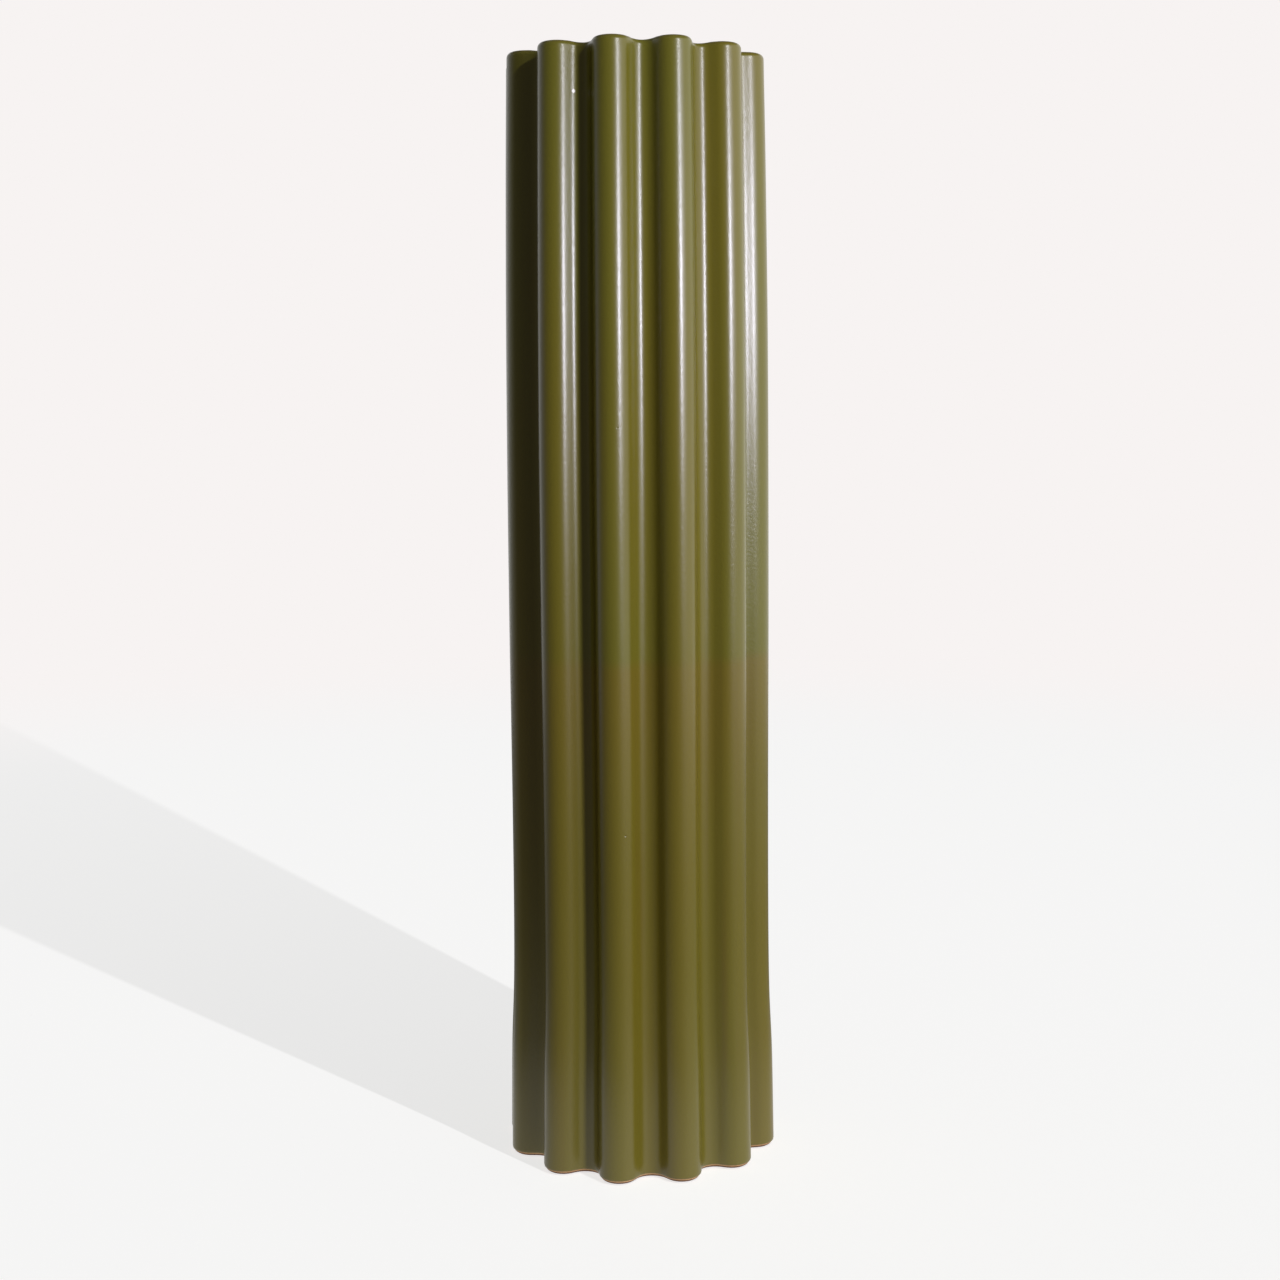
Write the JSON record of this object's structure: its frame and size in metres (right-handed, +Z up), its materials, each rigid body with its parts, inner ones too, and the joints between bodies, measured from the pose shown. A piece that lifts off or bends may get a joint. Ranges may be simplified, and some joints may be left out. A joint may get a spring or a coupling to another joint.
{
  "type": "fluted vase",
  "caption": "Tall fluted stoneware floor vase, open at the top, with a satin olive glaze over a clay wall and floor slab.",
  "frame": {"origin": "middle of the foot, on the surface that the vase stands on", "axes": "+Z up along the vase's axis, -Y towards the front, +X to the right seen from the front"},
  "size_m": [0.15, 0.15, 0.6],
  "materials": {
    "stoneware": "matt unglazed tan stoneware",
    "olive_glaze": "satin olive glaze with a fine orange-peel grain"
  },
  "bodies": {
    "root": {"vase_wall": "stoneware", "floor_slab": "stoneware", "luting_coil": "stoneware", "outer_glaze": "olive_glaze", "liner_glaze": "olive_glaze"}
  },
  "joints": []
}
